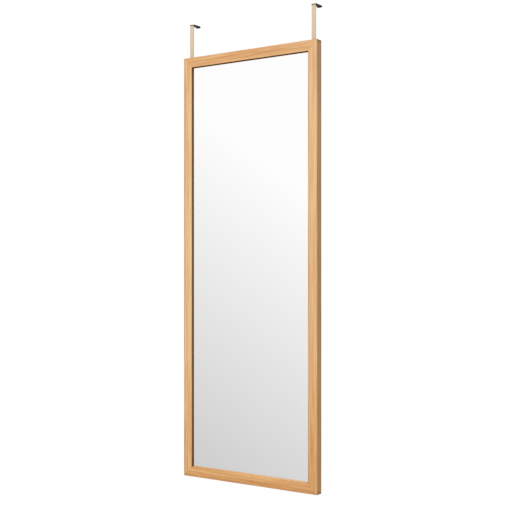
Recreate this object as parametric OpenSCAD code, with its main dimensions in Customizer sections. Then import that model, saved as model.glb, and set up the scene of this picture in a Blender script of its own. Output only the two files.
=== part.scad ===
// Over the door mirror: a mitred wooden frame with a hollow back holds a
// mirror pane, and two bent steel straps hang it from the top of a door.
// X runs across the mirror and Y from its front to the door.
// Y is 0 at the door's front face and Z is 0 at the door's top edge.

/* [Frame] */
// Width of the frame
frame_w = 450; // [320:5:600]
// Height of the frame
frame_h = 1200; // [900:10:1600]
// Depth of the frame from front to back
frame_d = 22; // [19.5:0.5:30]
// Width of the moulding's front face
face_w = 29; // [28:0.5:40]
// Radius along the outer front edge
front_r = 2.5; // [0.5:0.25:5]
// Radius along the outer back edge
back_r = 2; // [0.5:0.25:4]
// Radius of the frame's four outer corners
corner_r = 3; // [1:0.5:5]
// Bevel along the inner front edge
bevel = 1.2; // [0.4:0.1:2.5]
// Width of the rebate that the mirror lies in
rebate_w = 6; // [4:0.5:7]
// Wood in front of the mirror
front_lip = 6; // [3.5:0.25:8]
// Outer wall beside the recess in the back
wall_t = 11; // [9.5:0.5:12]

/* [Mirror and back] */
// Thickness of the mirror pane
pane_t = 4; // [3:0.5:6]
// Bevel ground on the pane's edges
pane_bevel = 0.6; // [0.2:0.1:1.2]
// Thickness of the foam liner behind the pane
liner_t = 1; // [0.5:0.25:3]
// Thickness of the back panel
panel_t = 2.5; // [2:0.5:6]
// Gap round the pane, the liner and the back panel
pane_gap = 1; // [0.5:0.25:2]

/* [Door hooks] */
// Thickest door that the hooks go over
door_t = 18; // [15:1:50]
// Play between the door and the hooks
door_play = 1; // [0.5:0.25:3]
// Height of the door's top edge above the frame
hook_rise = 95; // [60:1:150]
// Width of the strap
strap_w = 15.5; // [13:0.5:17]
// Thickness of the strap
strap_t = 1.5; // [1:0.25:2.5]
// Inner radius of the strap's bends
bend_r = 0.6; // [0.4:0.1:1.5]
// Length of the lip behind the door
lip_h = 4; // [4:0.5:30]
// Wall of the rubber sleeve
sleeve_t = 0.6; // [0.5:0.1:1.5]
// Radius of the strap's lower corners
tail_r = 3; // [1:0.5:6]
// Strap left below the slot
tail_margin = 6; // [4:0.5:12]
// Gap between the strap and the sides of its notch
notch_gap = 0.4; // [0.3:0.05:1]

/* [Height adjustment] */
// Upper hook screw below the frame's top
hook_screw_drop = 50; // [48:1:70]
// Distance between the two screws of a hook
hook_screw_pitch = 20; // [14:1:40]
// Way that a hook slides up from its place
slide_up = 10; // [0:1:20]
// Way that a hook slides down from its place
slide_down = 30; // [10:1:32]
// Gap between the slot and the screws
slot_gap = 0.35; // [0.3:0.05:0.8]

/* [Turn buttons] */
// Length of a turn button
button_l = 24; // [20:1:32]
// Width of a turn button
button_w = 9; // [7.5:0.5:10]
// Thickness of a turn button
button_t = 1.2; // [0.8:0.1:2]
// Height of the finger tab bent up at the button's tip
tab_h = 3; // [2:0.25:4]
// Part of the stile's height between two buttons
button_spread = 0.32; // [0.2:0.02:0.4]
// Radial play between a button and its screw
pivot_gap = 0.08; // [0.04:0.01:0.1]

/* [Fasteners and pads] */
// Diameter of the screws
screw_d = 3.2; // [2.5:0.1:3.6]
// Depth of the screws in the wood
screw_bite = 9; // [6:0.5:12]
// Diameter of the screw heads
head_d = 6.5; // [5.5:0.25:7.5]
// Height of the screw heads
head_h = 2.2; // [1.8:0.1:3]
// Diameter of the washers
washer_d = 9; // [8:0.5:12]
// Thickness of the washers
washer_t = 0.8; // [0.5:0.1:1.2]
// Length of each leg of a corner nail
nail_leg = 5; // [3:0.5:5.5]
// Thickness of a corner nail
nail_t = 0.6; // [0.4:0.1:1]
// Depth of a corner nail in the wood
nail_h = 8; // [5:0.5:10]
// Diameter of the bumper pads
pad_d = 8.5; // [6:0.5:9]
// Thickness of the bumper pads
pad_t = 1.5; // [1:0.25:4]
// Radius round the bumper pads' faces
pad_r = 0.6; // [0.2:0.1:0.9]
// Distance of the pads from the frame's top and bottom
pad_inset = 45; // [30:5:120]

/* [Hidden] */
$fn = 48;

// Colours
oak = [0.90, 0.71, 0.50];
oak_edge = [0.84, 0.64, 0.43];
hardboard = [0.45, 0.31, 0.20];
foam = [0.93, 0.93, 0.90];
silvered = [0.86, 0.88, 0.90];
beige = [0.85, 0.76, 0.65];
black_rubber = [0.13, 0.11, 0.10];
zinc = [0.72, 0.73, 0.75];

// Sides of the frame, as turns about Y from the top
top_side = 0;
bottom_side = 180;
left_side = -90;
right_side = 90;

// Shared fits
snug = 0.05;
over = 1;

// Frame, with U inwards from the outer edge and V back from the front
ledge_v = front_lip + pane_t + liner_t + panel_t;
rebate_u = face_w - rebate_w;
ledge_mid_u = (wall_t + rebate_u) / 2;
frame_front_y = -pad_t - frame_d;
frame_mid_z = -hook_rise - frame_h / 2;
pane_w = frame_w - 2 * (rebate_u + pane_gap);
pane_h = frame_h - 2 * (rebate_u + pane_gap);

// Hooks
hook_x = frame_w / 2 - wall_t - notch_gap - strap_w / 2;
strap_y = frame_front_y + ledge_v;
door_gap = door_t + door_play;
leg_z = sleeve_t + snug;
leg_top_z = leg_z + strap_t;
lip_y = door_gap + sleeve_t + snug;
lip_back_y = lip_y + strap_t;
slot_r = screw_d / 2 + slot_gap;
slot_top_z = -hook_rise - hook_screw_drop + slide_down;
slot_low_z = -hook_rise - hook_screw_drop - hook_screw_pitch - slide_up;
tail_z = slot_low_z - slot_r - tail_margin;
sleeve_w = strap_w + 2 * (snug + sleeve_t);
sleeve_front_y = strap_y - snug - sleeve_t;
sleeve_back_y = lip_back_y + snug + sleeve_t;
sleeve_top_z = leg_top_z + snug + sleeve_t;
sleeve_low_z = -lip_h - snug - sleeve_t;
sleeve_under_y = strap_y + strap_t + 2 * bend_r;
sleeve_end_r = sleeve_t;

// Turn buttons and screws
button_pitch = frame_h * button_spread;
button_reach = button_l - button_w;
tab_r = 0.8;
head_dome = 1;
dome_r = (head_d * head_d / 4 + head_dome * head_dome) / (2 * head_dome);
tip_h = 2.5;
cross_w = 0.9;
cross_l = head_d * 0.55;
cross_h = head_h * 0.55;
hook_grip = strap_t + washer_t;

// Corner nails, one in the wall and one in the ledge
nail_sink = 0.3;
pad_u = (back_r + wall_t) / 2;

// A rectangle whose two upper corners are rounded
module arch(x_low, x_high, y_low, y_high, r) {
    translate([x_low, y_low]) square([x_high - x_low, y_high - r - y_low]);
    translate([x_low + r, y_low]) square([x_high - x_low - 2 * r, y_high - y_low]);
    for (x = [x_low + r, x_high - r])
        translate([x, y_high - r]) circle(r);
}

// Carries a side view, drawn in Y and Z, across the width w
module across(w) {
    translate([-w / 2, 0, 0]) rotate([90, 0, 90]) linear_extrude(w) children();
}

// Local frame of one side: X along it, Y inwards as U and Z back as V
module on_side(side) {
    reach = (side == top_side || side == bottom_side) ? frame_h / 2 : frame_w / 2;
    translate([0, frame_front_y, frame_mid_z])
        rotate([0, side, 0])
            translate([0, 0, reach])
                rotate([-90, 0, 0]) children();
}

// Section of the moulding, drawn in U and V
module moulding_section() {
    difference() {
        square([face_w, frame_d]);
        difference() {
            square(front_r);
            translate([front_r, front_r]) circle(front_r);
        }
        difference() {
            translate([0, frame_d - back_r]) square(back_r);
            translate([back_r, frame_d - back_r]) circle(back_r);
        }
        polygon([[face_w - bevel, 0], [face_w, bevel], [face_w + over, 0], [face_w, -over]]);
        translate([rebate_u, front_lip]) square([rebate_w + over, frame_d]);
        translate([wall_t, ledge_v]) square([face_w, frame_d]);
    }
}

// One length of moulding with mitred ends and its share of the rounded corners
module moulding(side, length) {
    on_side(side) intersection() {
        across(length) moulding_section();
        linear_extrude(frame_d) difference() {
            polygon([[-length / 2, 0], [length / 2, 0],
                [length / 2 - face_w, face_w], [face_w - length / 2, face_w]]);
            for (end = [0, 1])
                mirror([end, 0]) translate([length / 2 - corner_r, corner_r]) outer_corner();
        }
    }
}

// What the rounding takes off one outer corner of the frame
module outer_corner() {
    difference() {
        translate([0, -corner_r - over]) square(corner_r + over);
        circle(corner_r);
    }
}

// Bent nails across the mitres, each with one leg in either member
module corner_nail_set(gap) {
    leg = nail_leg + 2 * gap;
    leg_t = nail_t + 2 * gap;
    for (side = [top_side, bottom_side], end = [-1, 1])
        on_side(side)
            for (place = [[wall_t / 2, frame_d], [ledge_mid_u, ledge_v]])
                translate([end * (frame_w / 2 - place[0]), place[0], place[1] - nail_h - gap])
                    linear_extrude(nail_h - nail_sink + (gap > 0 ? nail_sink + over : 0)) {
                        translate([end > 0 ? -nail_leg - gap : -gap, -leg_t / 2]) square([leg, leg_t]);
                        translate([-leg_t / 2, -gap]) square([leg_t, leg]);
                    }
}

// Places of the turn buttons along a stile, from the top down
function button_place(row) = (1 - row) * button_pitch;

// Moves to a turn button's pivot on the ledge, or to its mirror image
module at_pivot(side, along) {
    on_side(side) translate([along, ledge_mid_u, ledge_v]) children();
}

// Pivots on the given side
module at_pivots(side) {
    rows = (side == top_side || side == bottom_side) ? [1] : [0:2];
    for (row = rows)
        at_pivot(side, button_place(row)) children();
}

// Places of the two screws of one hook
module at_hook_screws(hand) {
    for (k = [0:1])
        translate([hand * hook_x, strap_y, -hook_rise - hook_screw_drop - k * hook_screw_pitch])
            rotate([-90, 0, 0]) children();
}

// Pilot hole under a screw
module pilot() {
    translate([0, 0, -screw_bite - snug])
        cylinder(h = screw_bite + over, d = screw_d + 2 * snug);
}

// Pan head screw that clamps a given thickness
module pan_screw(grip) {
    difference() {
        rotate_extrude() {
            polygon([[0, -screw_bite], [screw_d / 2, tip_h - screw_bite], [screw_d / 2, grip], [0, grip]]);
            intersection() {
                translate([0, grip]) square([head_d / 2, head_h]);
                translate([0, grip + head_h - dome_r]) circle(dome_r);
            }
        }
        for (turn = [0, 90])
            rotate([0, 0, turn])
                translate([-cross_l / 2, -cross_w / 2, grip + head_h - cross_h])
                    cube([cross_l, cross_w, cross_h + over]);
    }
}

module top_rail() {
    color(oak) difference() {
        moulding(top_side, frame_w);
        on_side(top_side)
            for (hand = [-1, 1])
                translate([hand * hook_x - strap_w / 2 - notch_gap, -over, ledge_v])
                    cube([strap_w + 2 * notch_gap, wall_t + 2 * over, frame_d]);
        corner_nail_set(snug);
        at_pivots(top_side) pilot();
    }
}

module bottom_rail() {
    color(oak) difference() {
        moulding(bottom_side, frame_w);
        corner_nail_set(snug);
        at_pivots(bottom_side) pilot();
    }
}

module stile(side, hand) {
    color(oak_edge) difference() {
        moulding(side, frame_h);
        corner_nail_set(snug);
        at_pivots(side) pilot();
        at_hook_screws(hand) pilot();
    }
}

module corner_nails() {
    color(zinc) corner_nail_set(0);
}

// A flat sheet that lies in the rebate, from one depth to the next
module sheet(front_v, thick) {
    translate([-pane_w / 2, frame_front_y + front_v, frame_mid_z - pane_h / 2])
        cube([pane_w, thick, pane_h]);
}

// Pane with its edges ground to a small bevel on both faces
module mirror_pane() {
    low_z = frame_mid_z - pane_h / 2;
    color(silvered) intersection() {
        translate([0, 0, low_z]) linear_extrude(pane_h) bevelled_edge(pane_w);
        translate([-pane_w / 2, 0, frame_mid_z])
            rotate([0, 90, 0]) linear_extrude(pane_w) bevelled_edge(pane_h);
    }
}

// Section of the pane across a given width, drawn with Y up
module bevelled_edge(width) {
    front = frame_front_y + front_lip;
    back = front + pane_t;
    polygon([[-width / 2 + pane_bevel, front], [width / 2 - pane_bevel, front],
        [width / 2, front + pane_bevel], [width / 2, back - pane_bevel],
        [width / 2 - pane_bevel, back], [-width / 2 + pane_bevel, back],
        [-width / 2, back - pane_bevel], [-width / 2, front + pane_bevel]]);
}

module foam_liner() {
    color(foam) sheet(front_lip + pane_t, liner_t);
}

module back_panel() {
    color(hardboard) sheet(front_lip + pane_t + liner_t, panel_t);
}

// Flat plate with round ends and a finger tab, turning on its screw
module turn_button(side, row) {
    color(zinc) at_pivot(side, button_place(row)) difference() {
        union() {
            linear_extrude(button_t) {
                circle(d = button_w);
                translate([-button_w / 2, 0]) square([button_w, button_reach]);
            }
            translate([0, button_reach, 0]) across(button_w) tab_section();
        }
        translate([0, 0, -over])
            cylinder(h = button_t + 2 * over, r = screw_d / 2 + pivot_gap);
    }
}

// Section of the bent tip: along the button and then up
module tab_section() {
    outer_r = tab_r + button_t;
    square([button_w / 2 - outer_r, button_t]);
    translate([button_w / 2 - button_t, outer_r]) square([button_t, tab_h - outer_r]);
    translate([button_w / 2 - outer_r, outer_r]) intersection() {
        difference() {
            circle(outer_r);
            circle(tab_r);
        }
        translate([0, -outer_r]) square(outer_r);
    }
}

module turn_button_screws() {
    color(zinc)
        for (side = [top_side, right_side, bottom_side, left_side])
            at_pivots(side) pan_screw(button_t + snug);
}

// Side view of the bent strap, grown by a gap for the sleeve's hollow
module hook_outline(gap) {
    difference() {
        arch(strap_y - gap, lip_back_y + gap, tail_z, leg_top_z + gap, bend_r + strap_t + gap);
        arch(strap_y + strap_t + gap, lip_y - gap, tail_z - over, leg_z - gap, bend_r);
        translate([lip_y - over, tail_z - over])
            square([strap_t + gap + 2 * over, -lip_h - gap - tail_z + over]);
    }
}

// Bent strap with a long slot for its two screws
module hook(hand) {
    color(beige) translate([hand * hook_x, 0, 0]) difference() {
        across(strap_w) hook_outline(0);
        for (side = [0, 1])
            mirror([side, 0, 0])
                translate([strap_w / 2, strap_y - over, tail_z])
                    rotate([-90, 0, 0]) linear_extrude(strap_t + 2 * over) tail_corner();
        translate([0, strap_y - over, 0]) rotate([-90, 0, 0]) linear_extrude(strap_t + 2 * over) {
            translate([-slot_r, -slot_top_z]) square([2 * slot_r, slot_top_z - slot_low_z]);
            for (z = [slot_top_z, slot_low_z])
                translate([0, -z]) circle(slot_r);
        }
    }
}

// What the rounding takes off one lower corner of the strap
module tail_corner() {
    difference() {
        translate([-tail_r, -tail_r]) square(tail_r + over);
        translate([-tail_r, -tail_r]) circle(tail_r);
    }
}

// Side view of the sleeve: over the bend, along the arm and down the lip
module sleeve_outline() {
    lip_low_y = door_gap;
    difference() {
        union() {
            arch(sleeve_front_y, sleeve_back_y, sleeve_low_z + sleeve_end_r, sleeve_top_z,
                bend_r + strap_t + snug + sleeve_t);
            translate([lip_low_y + sleeve_end_r, sleeve_low_z])
                square([sleeve_back_y - lip_low_y - 2 * sleeve_end_r, sleeve_end_r + over]);
            for (y = [lip_low_y + sleeve_end_r, sleeve_back_y - sleeve_end_r])
                translate([y, sleeve_low_z + sleeve_end_r]) circle(sleeve_end_r);
        }
        arch(sleeve_front_y - over, lip_low_y, sleeve_low_z, 0, bend_r);
        translate([sleeve_front_y - over, sleeve_low_z])
            square([sleeve_under_y - sleeve_front_y + over, leg_z - sleeve_low_z]);
    }
}

// Rubber sleeve drawn over the arm and the lip of a hook
module hook_sleeve(hand) {
    color(black_rubber) translate([hand * hook_x, 0, 0]) difference() {
        across(sleeve_w) sleeve_outline();
        across(strap_w + 2 * snug) hook_outline(snug);
    }
}

module hook_screws() {
    color(zinc)
        for (hand = [-1, 1])
            at_hook_screws(hand) pan_screw(hook_grip);
}

module hook_washers() {
    color(zinc)
        for (hand = [-1, 1])
            at_hook_screws(hand) translate([0, 0, strap_t]) difference() {
                cylinder(h = washer_t, d = washer_d);
                translate([0, 0, -over])
                    cylinder(h = washer_t + 2 * over, d = screw_d + 2 * snug);
            }
}

// Round pad on the back of a stile, near its top or its bottom
module pad(side, end) {
    color(black_rubber) on_side(side)
        translate([end * (frame_h / 2 - pad_inset), pad_u, frame_d])
            rotate_extrude() pad_section();
}

// Half of a pad's section, with its rim rounded towards the door
module pad_section() {
    square([pad_d / 2, pad_t - pad_r]);
    square([pad_d / 2 - pad_r, pad_t]);
    translate([pad_d / 2 - pad_r, pad_t - pad_r]) intersection() {
        circle(pad_r);
        square(pad_r);
    }
}

top_rail();
bottom_rail();
stile(left_side, -1);  // left_stile
stile(right_side, 1);  // right_stile
corner_nails();
mirror_pane();
foam_liner();
back_panel();
turn_button(left_side, 0);  // left_upper_turn_button
turn_button(left_side, 1);  // left_middle_turn_button
turn_button(left_side, 2);  // left_lower_turn_button
turn_button(right_side, 2);  // right_upper_turn_button
turn_button(right_side, 1);  // right_middle_turn_button
turn_button(right_side, 0);  // right_lower_turn_button
turn_button(top_side, 1);  // top_turn_button
turn_button(bottom_side, 1);  // bottom_turn_button
turn_button_screws();
hook(-1);  // left_hook
hook(1);  // right_hook
hook_sleeve(-1);  // left_hook_sleeve
hook_sleeve(1);  // right_hook_sleeve
hook_screws();
hook_washers();
pad(left_side, 1);  // upper_left_pad
pad(right_side, -1);  // upper_right_pad
pad(left_side, -1);  // lower_left_pad
pad(right_side, 1);  // lower_right_pad
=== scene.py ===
import math

import bmesh
import bpy
import numpy as np
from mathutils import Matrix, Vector


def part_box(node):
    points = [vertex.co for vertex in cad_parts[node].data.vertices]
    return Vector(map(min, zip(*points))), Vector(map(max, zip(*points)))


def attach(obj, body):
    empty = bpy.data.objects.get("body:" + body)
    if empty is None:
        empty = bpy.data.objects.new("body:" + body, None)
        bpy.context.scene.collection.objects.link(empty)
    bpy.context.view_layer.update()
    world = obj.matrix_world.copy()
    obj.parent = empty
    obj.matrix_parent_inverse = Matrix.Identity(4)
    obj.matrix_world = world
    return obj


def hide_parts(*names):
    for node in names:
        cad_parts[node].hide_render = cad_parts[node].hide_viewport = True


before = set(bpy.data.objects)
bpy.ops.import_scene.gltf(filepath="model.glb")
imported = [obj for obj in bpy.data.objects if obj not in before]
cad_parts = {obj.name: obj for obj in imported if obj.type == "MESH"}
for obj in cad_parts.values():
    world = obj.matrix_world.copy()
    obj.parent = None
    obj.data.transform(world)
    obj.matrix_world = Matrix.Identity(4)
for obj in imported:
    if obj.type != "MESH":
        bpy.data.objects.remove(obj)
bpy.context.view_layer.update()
mm = 0.001

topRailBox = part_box("top_rail")
frameTop = topRailBox[1][2]
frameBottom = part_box("bottom_rail")[0][2]
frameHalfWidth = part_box("right_stile")[1][0]
frameHalfHeight = (frameTop - frameBottom) / 2
frameFront = topRailBox[0][1]
frameMid = (frameTop + frameBottom) / 2
airGap = 0.02 * mm  # between plates that lie on one another
rounding = 1e-12  # lengths closer than this are the same


def newMaterial(name):
    mat = bpy.data.materials.new(name)
    mat.use_nodes = True
    tree = mat.node_tree
    tree.nodes.clear()
    out = tree.nodes.new("ShaderNodeOutputMaterial")
    shader = tree.nodes.new("ShaderNodeBsdfPrincipled")
    tree.links.new(shader.outputs[0], out.inputs[0])
    return mat, tree, shader


def plug(tree, socket, value):  # a node's output, or a plain number or colour
    if isinstance(value, bpy.types.NodeSocket):
        tree.links.new(value, socket)
    else:
        socket.default_value = value


def objectPoint(tree, scale=(1, 1, 1), shift=(0, 0, 0)):
    coord = tree.nodes.new("ShaderNodeTexCoord")
    mapping = tree.nodes.new("ShaderNodeMapping")
    mapping.inputs["Location"].default_value = shift
    mapping.inputs["Scale"].default_value = scale
    tree.links.new(coord.outputs["Object"], mapping.inputs["Vector"])
    return mapping.outputs[0]


def axes(tree):  # the object coordinates, one by one
    split = tree.nodes.new("ShaderNodeSeparateXYZ")
    tree.links.new(objectPoint(tree), split.inputs[0])
    return split.outputs


def noise(tree, place, detail=2.0, rough=0.5, distortion=0.0, scale=1.0, line=False):
    # in space, or along one number
    node = tree.nodes.new("ShaderNodeTexNoise")
    if line:
        node.noise_dimensions = "1D"
    plug(tree, node.inputs["W" if line else "Vector"], place)
    settings = {"Scale": scale, "Detail": detail, "Roughness": rough, "Distortion": distortion}
    for name, value in settings.items():
        node.inputs[name].default_value = value
    return node.outputs[0]


def grain(tree, scale, detail=2.0, rough=0.5):  # noise that is alike in all directions
    return noise(tree, objectPoint(tree), detail, rough, scale=scale)


def maths(tree, operation, a, b=0.0):
    node = tree.nodes.new("ShaderNodeMath")
    node.operation = operation
    plug(tree, node.inputs[0], a)
    plug(tree, node.inputs[1], b)
    return node.outputs[0]


def plus(tree, a, b):
    return maths(tree, "ADD", a, b)


def minus(tree, a, b):
    return maths(tree, "SUBTRACT", a, b)


def times(tree, a, b):
    return maths(tree, "MULTIPLY", a, b)


def larger(tree, a, b):
    return maths(tree, "MAXIMUM", a, b)


def apart(tree, a, b):
    return maths(tree, "ABSOLUTE", minus(tree, a, b))


def weighted(tree, *terms):  # the sum of value times weight
    total = 0.0
    for value, weight in terms:
        total = plus(tree, total, times(tree, value, weight))
    return total


def mottled(tree, texture, middle, spread):  # a roughness that follows a texture
    return weighted(tree, (1.0, middle - spread / 2), (texture, spread))


def ramp(tree, value, limits, strength=1.0, start=0.0, origin=0.0, smooth=True):
    # from start at the first limit to strength at the second, both counted from origin
    node = tree.nodes.new("ShaderNodeMapRange")
    node.interpolation_type = "SMOOTHSTEP" if smooth else "LINEAR"
    plug(tree, node.inputs["Value"], value)
    low, high = (origin + limit for limit in limits)
    for name, number in (("From Min", low), ("From Max", high), ("To Min", start), ("To Max", strength)):
        node.inputs[name].default_value = number
    return node.outputs[0]


def mixColour(tree, factor, a, b):
    node = tree.nodes.new("ShaderNodeMix")
    node.data_type = "RGBA"
    plug(tree, node.inputs[0], factor)
    plug(tree, node.inputs[6], a)
    plug(tree, node.inputs[7], b)
    return node.outputs[2]


def covered(tree, colour, *layers):  # each layer is a share and the colour that covers by it
    for share, cover in layers:
        colour = mixColour(tree, share, colour, cover)
    return colour


def finish(tree, shader, colour, roughness):
    plug(tree, shader.inputs["Base Color"], colour)
    plug(tree, shader.inputs["Roughness"], roughness)


def bump(tree, shader, height, size):
    node = tree.nodes.new("ShaderNodeBump")
    node.inputs["Distance"].default_value, node.inputs["Strength"].default_value = size
    plug(tree, node.inputs["Height"], height)
    tree.links.new(node.outputs[0], shader.inputs["Normal"])


def linear(red, green, blue):  # an sRGB colour from 0 to 255, as the shaders need it
    def one(c):
        c /= 255
        return c / 12.92 if c <= 0.04045 else ((c + 0.055) / 1.055) ** 2.4
    return (one(red), one(green), one(blue), 1.0)


def depthInwards(tree, x, z, halfWidth, halfHeight, middle):
    # distance of a point from the outline of an upright rectangle
    fromSide = minus(tree, halfWidth, maths(tree, "ABSOLUTE", x))
    return maths(tree, "MINIMUM", fromSide, minus(tree, halfHeight, apart(tree, z, middle)))


# here and below: a roughness is its middle and its spread, a bump its depth and strength, a
# grain its scale, detail and roughness, and a band or limits where a ramp starts and ends
oak = {
    "pale": (236, 188, 130),
    "deep": (196, 136, 72),
    # the paler tone of a painted sheen
    "paintedSheen": (250, 214, 170),
    "pore": linear(134, 86, 44),
    # the colour of the painted shade along the edges
    "paintedEdgeShade": linear(152, 96, 36),
    # the colour of the painted shade at the back and the ends of the side
    "backAndEndShade": linear(122, 94, 60),
    # the colours of the painted shade inside the lip
    "stileLipShade": linear(106, 64, 20),
    "railLipShade": linear(92, 52, 10),
    # layers of noise: size across the grain, size along it, detail and roughness; each
    # layer starts at these shares of the member's seed
    "layerShift": (1.0, 1.7, 0.6),
    "wander": (160 * mm, 300 * mm, 2.0, 0.45),
    "broad": (14 * mm, 240 * mm, 1.5, 0.5),
    "streaks": (2.2 * mm, 90 * mm, 2.0, 0.6),
    "fibres": (0.45 * mm, 16 * mm, 2.5, 0.65),
    "pores": (0.38 * mm, 7 * mm, 1.0, 0.5),
    "ringWidth": 3.0 * mm,
    "ringSlant": 0.7,
    "ringWander": 9.0,
    "ringShift": 9.0,
    "ringDetail": (2.5, 0.62),
    "toneWeights": (0.8, 0.55, 0.45, 0.3),
    "toneLimits": (0.9, 1.2),
    "poreLimits": (0.66, 0.76),
    "poreShade": 0.4,
    # heights and rightward lean of the painted sheen on the stiles
    "sheenHeights": (-0.9, -0.2, 0.6, 0.95),
    "sheenLean": 0.6 / (15 * mm),
    # depths inwards from the outline or the inner edge, or back from the front
    # painted shade on the side face
    "sideBand": (0.8 * mm, 0.1 * mm),
    "sideShade": 0.2,
    # painted shade at the rims of the face, along the inner edge and behind the front arris
    "rimBand": (4.5 * mm, 0.3 * mm),
    "rimDepths": (3.5 * mm, 1.0 * mm),
    "innerBand": (-3.2 * mm, -0.5 * mm),
    "arrisBand": (0.9 * mm, 0.1 * mm),
    "arrisRise": (1.5 * mm, 5.5 * mm),
    "arrisFall": (14 * mm, 10 * mm),
    "arrisShade": 0.1,
    # painted shade towards the back of the side and at its top and bottom ends
    "backBand": (9 * mm, 20 * mm),
    "backShade": 0.4,
    "endBand": (-14 * mm, -2 * mm),
    "endShade": 0.75,
    "lipEdge": 0.3 * mm,
    "lipRoughness": 0.5,
    "roughness": (0.4, 0.12),
    "fibreHeight": 0.35,
    "bump": (0.06 * mm, 0.6),
}


# how each member differs: its side of the frame, counted clockwise from the top, its own
# noise, its tint, and the strengths of its painted shades and painted sheen
members = {
    "topRail": {"sideDeg": 0, "seed": 3.1, "tint": (0.985, 0.975, 0.96), "rimShade": 0.2,
                "lipStart": 0.6 * mm},
    "bottomRail": {"sideDeg": 180, "seed": 48.2, "tint": (0.965, 0.935, 0.89), "rimShade": 0.2,
                   "lipShade": 0.1},
    "leftStile": {"sideDeg": -90, "seed": 35.4, "tint": (0.987, 0.995, 1.0), "rimShade": 0.7,
                  "sheenStrengths": (0.25, 0.1)},
    "rightStile": {"sideDeg": 90, "seed": 37.9, "tint": (0.985, 0.98, 0.965), "rimShade": 0.12,
                   "innerShade": 0.6, "sheenStrengths": (0.24, 0.24), "foot": 0.2},
}


def oakMaterial(name, sideDeg, seed, tint, rimShade, innerShade=0.0, lipShade=0.92, lipStart=0.25 * mm,
                sheenStrengths=(0.0, 0.0), foot=0.0):
    # growth rings are lines at equal values of the place across the member, which wanders
    # slowly along it; finer noise is stretched along the grain and draws out into fibres.
    # A stile gets a painted sheen from above its foot up to its head, given for the middle and for
    # the head, more on its right than on its left, and painted shade at its foot. Painted shade
    # also darkens the wood inside the lip, at the rims of the face, on the side, and at its back and ends
    mat, tree, shader = newMaterial("oak" + name[0].upper() + name[1:])
    along = "X" if isRail(sideDeg) else "Z"
    centre = (frameHalfWidth - moulding["faceWidth"] / 2) * math.sin(math.radians(sideDeg))

    def layer(kind):
        acrossSize, alongSize, detail, rough = oak[kind]
        scale = [1 / acrossSize] * 3
        scale["XYZ".index(along)] = 1 / alongSize
        shift = [seed * part for part in oak["layerShift"]]
        return noise(tree, objectPoint(tree, scale, shift), detail, rough)

    x, y, z = axes(tree)
    width, fibres = oak["ringWidth"], layer("fibres")
    place = weighted(tree, (z if along == "X" else x, 1 / width), (y, oak["ringSlant"] / width),
                     (layer("wander"), oak["ringWander"]), (1.0, seed * oak["ringShift"]))
    rings = noise(tree, place, *oak["ringDetail"], line=True)
    tone = weighted(tree, *zip((rings, layer("streaks"), layer("broad"), fibres), oak["toneWeights"]))
    deep, pale, paintedSheen = (linear(*(channel * part for channel, part in zip(oak[kind], tint)))
                            for kind in ("deep", "pale", "paintedSheen"))
    colour = mixColour(tree, ramp(tree, tone, oak["toneLimits"], smooth=False), deep, pale)

    inwards = depthInwards(tree, x, z, frameHalfWidth, frameHalfHeight, frameMid)
    outside = ramp(tree, inwards, oak["sideBand"])
    # a painted sheen on a stile, stronger upwards and to the right, kept off the side
    levels = [frameMid + share * frameHalfHeight for share in oak["sheenHeights"]]
    middle, head = ramp(tree, z, levels[:2], sheenStrengths[0]), ramp(tree, z, levels[2:], sheenStrengths[1] - sheenStrengths[0])
    toRight = weighted(tree, (1.0, 1.0), (minus(tree, x, centre), oak["sheenLean"]))
    sheenMask = times(tree, times(tree, plus(tree, middle, head), minus(tree, 1.0, outside)), toRight)
    pores = ramp(tree, layer("pores"), oak["poreLimits"])

    # painted shade at the outer rims, along the inner edge and behind the front arris
    rim = times(tree, ramp(tree, inwards, oak["rimBand"], rimShade, smooth=False),
                ramp(tree, y, oak["rimDepths"], origin=frameFront))
    innerRim = ramp(tree, inwards, oak["innerBand"], innerShade, origin=moulding["faceWidth"])
    paintedEdgeShade = times(tree, ramp(tree, inwards, oak["arrisBand"], oak["arrisShade"]),
                  times(tree, ramp(tree, y, oak["arrisRise"], origin=frameFront),
                        ramp(tree, y, oak["arrisFall"], origin=frameFront)))
    # painted shade towards the back of the side and at its ends
    back = ramp(tree, y, oak["backBand"], oak["backShade"], origin=frameFront)
    ends = ramp(tree, apart(tree, z, frameMid), oak["endBand"], oak["endShade"], origin=frameHalfHeight)
    # painted shade inside the lip, strong where the light does not reach and weak on the bottom rail
    lip = ramp(tree, inwards, (0.0, oak["lipEdge"]), lipShade, origin=moulding["faceWidth"] - lipStart)
    colour = covered(tree, colour, (sheenMask, paintedSheen),
                     # painted shade towards the foot of a stile
                     (ramp(tree, z, (levels[1], levels[0]), foot), deep),
                     (times(tree, pores, oak["poreShade"]), oak["pore"]),
                     # painted shade on the side face
                     (times(tree, outside, oak["sideShade"]), deep),
                     (larger(tree, larger(tree, paintedEdgeShade, rim), innerRim), oak["paintedEdgeShade"]),
                     (times(tree, larger(tree, back, ends), outside), oak["backAndEndShade"]),
                     (lip, oak["railLipShade" if along == "X" else "stileLipShade"]))
    roughness = mottled(tree, fibres, *oak["roughness"])
    finish(tree, shader, colour, plus(tree, roughness, times(tree, lip, oak["lipRoughness"])))
    bump(tree, shader, weighted(tree, (fibres, oak["fibreHeight"]), (pores, -1.0)), oak["bump"])
    return mat


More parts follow.
